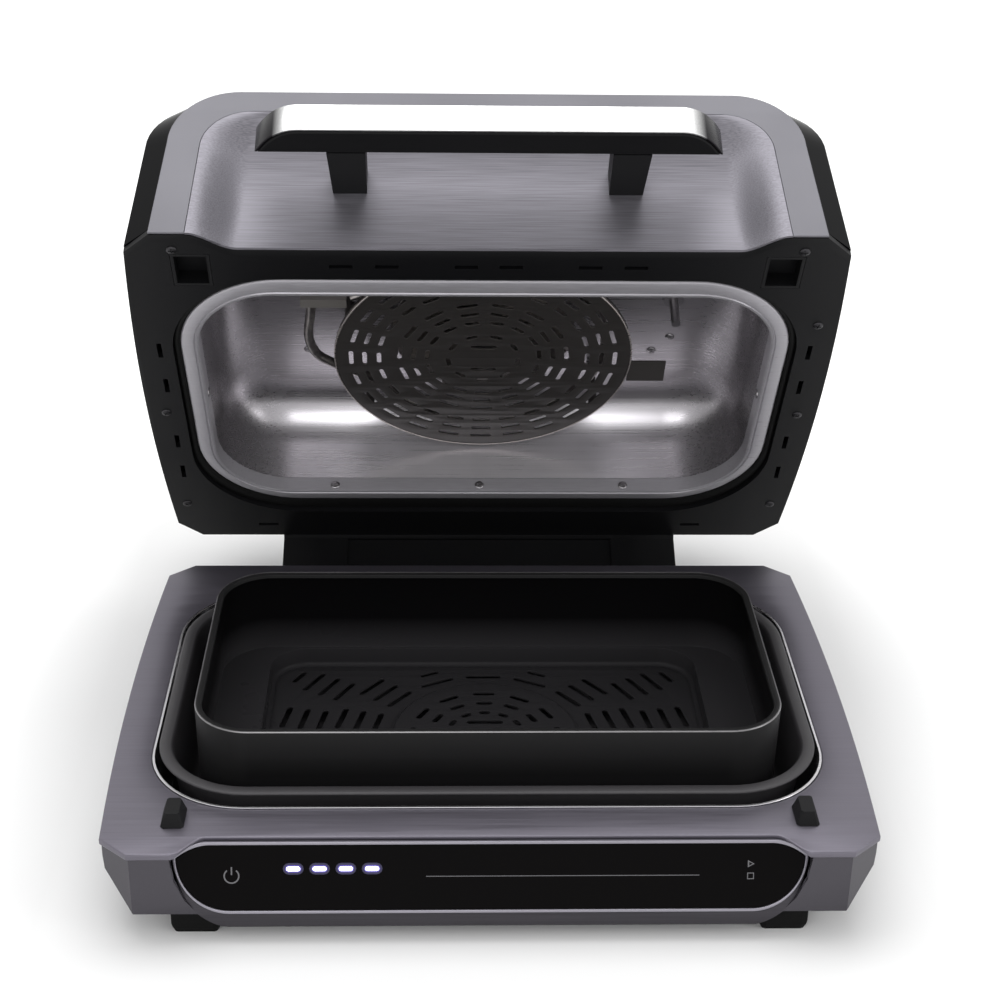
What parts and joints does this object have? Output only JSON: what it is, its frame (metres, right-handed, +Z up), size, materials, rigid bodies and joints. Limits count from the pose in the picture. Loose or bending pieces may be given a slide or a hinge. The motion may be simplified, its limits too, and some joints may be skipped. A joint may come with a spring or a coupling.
{
  "type": "air fryer grill",
  "caption": "Low countertop air fryer grill with a hinged domed lid, fan and heater in the lid, a lift-out pot and a slotted crisper basket.",
  "frame": {"origin": "on the ground under the middle of the overall box, with the lid open as in the picture", "axes": "+X to the right as seen from the front, +Y from the touch panel to the hinge at the back, +Z up"},
  "size_m": [0.4404, 0.4728, 0.4033],
  "materials": {
    "deck_grey": "satin, fine brushed look",
    "housing_grey": "satin with glossy bevels",
    "gloss_black": "gloss",
    "matte_black": "matte, fine grain",
    "rubber_black": "matte",
    "steel_bright": "satin",
    "steel_liner": "brushed",
    "pan_coat": "dark non-stick coat",
    "front_grey": "satin",
    "front_brushed": "brushed across",
    "handle_satin": "satin",
    "guard_dark": "satin",
    "heater_dark": "oxidised",
    "panel_glass": "gloss black",
    "lamp_white": "lit white",
    "board_green": "matte"
  },
  "bodies": {
    "base": {"deck_plate": "deck_grey", "well_liner": "steel_bright", "base_housing": "housing_grey", "bottom_tray": "matte_black", "panel_carrier": "housing_grey", "cable_gland": "rubber_black", "foot_front_left": "rubber_black", "foot_rear_left": "rubber_black", "guide_pin_left": "matte_black", "hinge_ear_left": "matte_black", "hinge_pin_left": "steel_bright", "foot_front_right": "rubber_black", "foot_rear_right": "rubber_black", "guide_pin_right": "matte_black", "hinge_ear_right": "matte_black", "hinge_pin_right": "steel_bright", "panel_frame": "front_grey", "panel_glass": "panel_glass", "control_board": "board_green", "indicator_lamp_1": "lamp_white", "indicator_lamp_2": "lamp_white", "indicator_lamp_3": "lamp_white", "indicator_lamp_4": "lamp_white"},
    "cooking_pot": {"cooking_pot": "pan_coat"},
    "crisper_basket": {"crisper_basket": "pan_coat"},
    "lid": {"hinge_neck": "matte_black", "lid_shell": "gloss_black", "lid_band": "front_grey", "lid_panel": "front_brushed", "lid_rim": "matte_black", "socket_cup_left": "matte_black", "socket_cup_right": "matte_black", "lid_seal": "rubber_black", "cavity_flange": "steel_bright", "cavity_liner": "steel_liner", "fan_guard": "guard_dark", "heating_element": "heater_dark", "heater_terminal": "steel_bright", "heat_probe": "steel_bright", "motor_plate": "steel_bright", "fan_motor": "heater_dark", "handle_bar": "matte_black", "handle_cover": "handle_satin", "handle_post_left": "matte_black", "handle_post_right": "matte_black"},
    "fan": {"fan_impeller": "steel_liner", "fan_shaft": "steel_bright"}
  },
  "joints": [
    {"name": "lid_hinge", "type": "hinge", "parent": "base", "child": "lid", "pos_m": [0, 0.11033, 0.0141], "axis": [1, 0, 0], "range_deg": [0, 60.25]},
    {"name": "pot_lift", "type": "slide", "parent": "base", "child": "cooking_pot", "axis": [0, -0.1736, 0.9848], "range_m": [0, 0.181]},
    {"name": "basket_lift", "type": "slide", "parent": "cooking_pot", "child": "crisper_basket", "axis": [0, -0.1736, 0.9848], "range_m": [0, 0.171]},
    {"name": "fan_spin", "type": "hinge", "parent": "lid", "child": "fan", "pos_m": [0, 0.11736, 0.22268], "axis": [0, 0.8682, 0.4962], "continuous": true}
  ]
}
